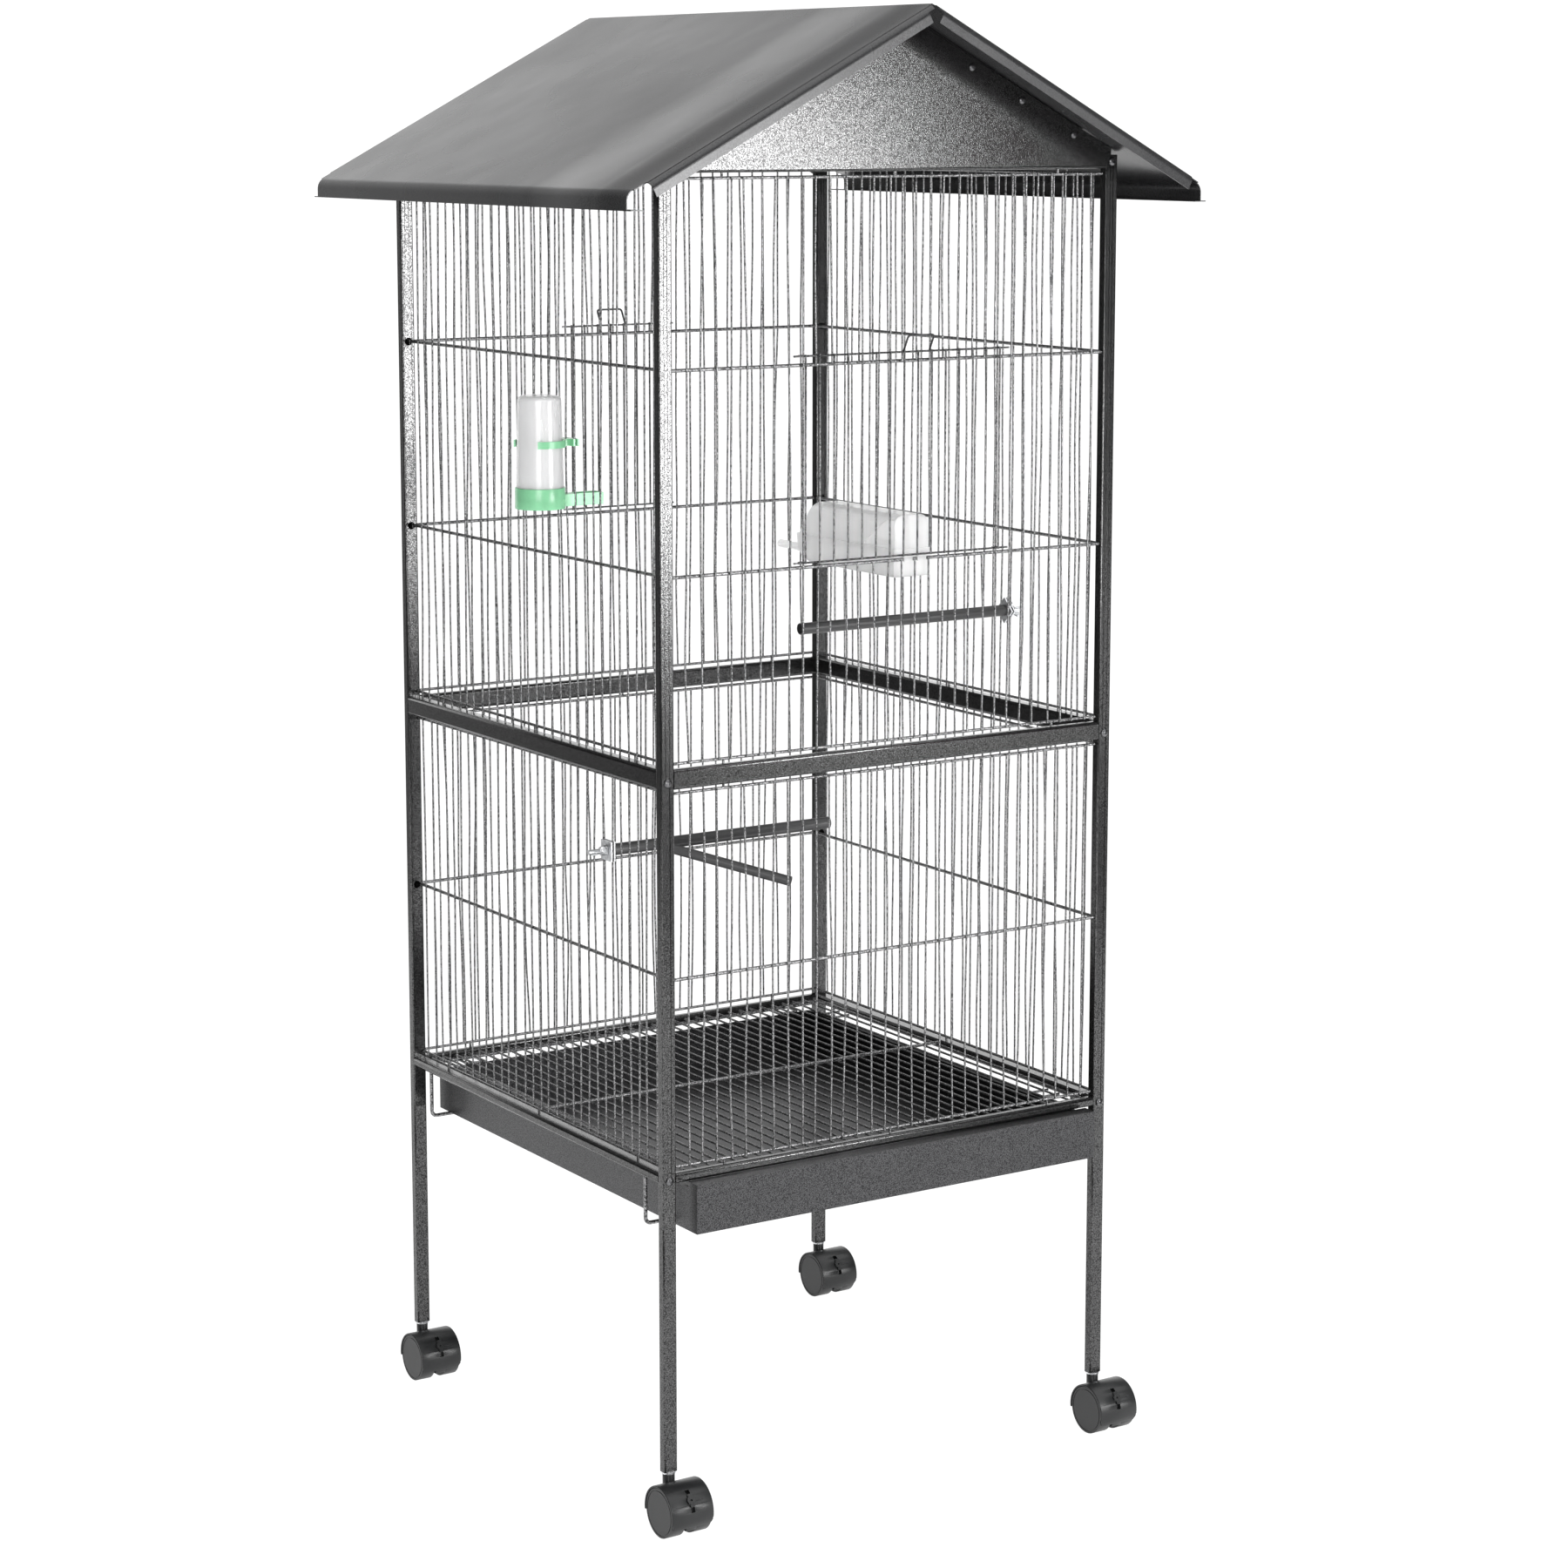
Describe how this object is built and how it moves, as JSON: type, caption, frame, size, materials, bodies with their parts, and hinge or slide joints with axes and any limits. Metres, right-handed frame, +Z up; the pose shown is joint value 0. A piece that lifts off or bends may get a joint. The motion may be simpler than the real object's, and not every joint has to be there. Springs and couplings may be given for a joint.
{
  "type": "bird cage on stand",
  "caption": "Tall wire bird cage with a gabled sheet roof, sliding wire doors, pull-out tray, perches, feeder and drinker, standing on tube legs with braked twin-wheel casters.",
  "frame": {"origin": "on the floor under the middle of the cage", "axes": "+Z up, front with the larger door and the tray grip faces -Y, +X to the right seen from the front"},
  "size_m": [0.676, 0.676, 1.4957],
  "materials": {
    "hammer_coat": "dark grey hammer-tone powder coat",
    "wire_coat": "dark grey powder coat on wire",
    "roof_coat": "near-black satin powder coat",
    "tray_coat": "dark grey satin powder coat",
    "zinc": "galvanised",
    "dark_screws": "black oxide",
    "clear_plastic": "cloudy clear",
    "white_plastic": "translucent white",
    "green_plastic": "satin green",
    "black_plastic": "fine moulded texture",
    "wheel_plastic": "smooth moulded"
  },
  "bodies": {
    "cage": {"post_front_left": "hammer_coat", "post_front_right": "hammer_coat", "post_rear_left": "hammer_coat", "post_rear_right": "hammer_coat", "rails_top": "hammer_coat", "rails_middle": "hammer_coat", "rails_bottom": "hammer_coat", "wires_front_above_door": "wire_coat", "wires_front_beside_door": "wire_coat", "wires_front_below_door": "wire_coat", "wires_front_lower": "wire_coat", "wires_rear_above_door": "wire_coat", "wires_rear_beside_door": "wire_coat", "wires_rear_below_door": "wire_coat", "wires_rear_lower": "wire_coat", "wires_left": "wire_coat", "wires_right": "wire_coat", "roof_left": "roof_coat", "roof_right": "roof_coat", "gable_front": "hammer_coat", "gable_rear": "hammer_coat", "roof_angles": "hammer_coat", "gable_screws": "dark_screws", "frame_bolts": "dark_screws", "tray_hangers": "wire_coat", "grate_rests": "wire_coat", "leg_front_left": "hammer_coat", "leg_front_right": "hammer_coat", "leg_rear_left": "hammer_coat", "leg_rear_right": "hammer_coat", "leg_collars": "zinc", "perch_upper": "hammer_coat", "perch_lower": "hammer_coat", "perch_plates": "zinc", "perch_studs": "zinc", "drinker_base": "green_plastic", "bottle_strap": "green_plastic"},
    "upper_nut": {"wing_nut_upper": "zinc"},
    "lower_nut": {"wing_nut_lower": "zinc"},
    "water_bottle": {"bottle": "clear_plastic"},
    "feeder": {"feeder_trough": "white_plastic", "feeder_hood": "white_plastic"},
    "drawer": {"tray": "tray_coat"},
    "floor_grate": {"grate": "wire_coat"},
    "front_door": {"door_front": "wire_coat", "handle_front": "wire_coat"},
    "rear_door": {"door_rear": "wire_coat", "handle_rear": "wire_coat"},
    "swivel_front_left": {"caster_front_left": "black_plastic"},
    "wheelset_front_left": {"wheels_front_left": "wheel_plastic"},
    "lever_front_left": {"brake_front_left": "black_plastic"},
    "swivel_front_right": {"caster_front_right": "black_plastic"},
    "wheelset_front_right": {"wheels_front_right": "wheel_plastic"},
    "lever_front_right": {"brake_front_right": "black_plastic"},
    "swivel_rear_left": {"caster_rear_left": "black_plastic"},
    "wheelset_rear_left": {"wheels_rear_left": "wheel_plastic"},
    "lever_rear_left": {"brake_rear_left": "black_plastic"},
    "swivel_rear_right": {"caster_rear_right": "black_plastic"},
    "wheelset_rear_right": {"wheels_rear_right": "wheel_plastic"},
    "lever_rear_right": {"brake_rear_right": "black_plastic"}
  },
  "joints": [
    {"name": "front_door_slide", "type": "slide", "parent": "cage", "child": "front_door", "axis": [0, 0, 1], "range_m": [0, 0.15]},
    {"name": "rear_door_slide", "type": "slide", "parent": "cage", "child": "rear_door", "axis": [0, 0, 1], "range_m": [0, 0.15]},
    {"name": "tray_slide", "type": "slide", "parent": "cage", "child": "drawer", "axis": [0, -1, 0], "range_m": [0, 0.45]},
    {"name": "grate_lift", "type": "slide", "parent": "cage", "child": "floor_grate", "axis": [0, 0, 1], "range_m": [0, 0.06]},
    {"name": "feeder_lift", "type": "slide", "parent": "cage", "child": "feeder", "axis": [0, 0, 1], "range_m": [0, 0.03]},
    {"name": "bottle_lift", "type": "slide", "parent": "cage", "child": "water_bottle", "axis": [0, 0, 1], "range_m": [0, 0.07]},
    {"name": "upper_nut_turn", "type": "hinge", "parent": "cage", "child": "upper_nut", "pos_m": [0.26505, -0.10161, 0.863], "axis": [1, 0, 0], "continuous": true},
    {"name": "lower_nut_turn", "type": "hinge", "parent": "cage", "child": "lower_nut", "pos_m": [-0.26505, -0.15242, 0.667], "axis": [1, 0, 0], "continuous": true},
    {"name": "swivel_turn_front_left", "type": "hinge", "parent": "cage", "child": "swivel_front_left", "pos_m": [-0.265, -0.2675, 0.06], "axis": [0, 0, 1], "continuous": true},
    {"name": "wheel_roll_front_left", "type": "hinge", "parent": "swivel_front_left", "child": "wheelset_front_left", "pos_m": [-0.265, -0.2875, 0.025], "axis": [1, 0, 0], "continuous": true},
    {"name": "brake_turn_front_left", "type": "hinge", "parent": "swivel_front_left", "child": "lever_front_left", "pos_m": [-0.265, -0.30798, 0.03934], "axis": [0, -0.8192, 0.5736], "range_deg": [-20, 20]},
    {"name": "swivel_turn_front_right", "type": "hinge", "parent": "cage", "child": "swivel_front_right", "pos_m": [0.265, -0.2675, 0.06], "axis": [0, 0, 1], "continuous": true},
    {"name": "wheel_roll_front_right", "type": "hinge", "parent": "swivel_front_right", "child": "wheelset_front_right", "pos_m": [0.265, -0.2875, 0.025], "axis": [1, 0, 0], "continuous": true},
    {"name": "brake_turn_front_right", "type": "hinge", "parent": "swivel_front_right", "child": "lever_front_right", "pos_m": [0.265, -0.30798, 0.03934], "axis": [0, -0.8192, 0.5736], "range_deg": [-20, 20]},
    {"name": "swivel_turn_rear_left", "type": "hinge", "parent": "cage", "child": "swivel_rear_left", "pos_m": [-0.265, 0.2675, 0.06], "axis": [0, 0, 1], "continuous": true},
    {"name": "wheel_roll_rear_left", "type": "hinge", "parent": "swivel_rear_left", "child": "wheelset_rear_left", "pos_m": [-0.265, 0.2475, 0.025], "axis": [1, 0, 0], "continuous": true},
    {"name": "brake_turn_rear_left", "type": "hinge", "parent": "swivel_rear_left", "child": "lever_rear_left", "pos_m": [-0.265, 0.22702, 0.03934], "axis": [0, -0.8192, 0.5736], "range_deg": [-20, 20]},
    {"name": "swivel_turn_rear_right", "type": "hinge", "parent": "cage", "child": "swivel_rear_right", "pos_m": [0.265, 0.2675, 0.06], "axis": [0, 0, 1], "continuous": true},
    {"name": "wheel_roll_rear_right", "type": "hinge", "parent": "swivel_rear_right", "child": "wheelset_rear_right", "pos_m": [0.265, 0.2475, 0.025], "axis": [1, 0, 0], "continuous": true},
    {"name": "brake_turn_rear_right", "type": "hinge", "parent": "swivel_rear_right", "child": "lever_rear_right", "pos_m": [0.265, 0.22702, 0.03934], "axis": [0, -0.8192, 0.5736], "range_deg": [-20, 20]}
  ]
}
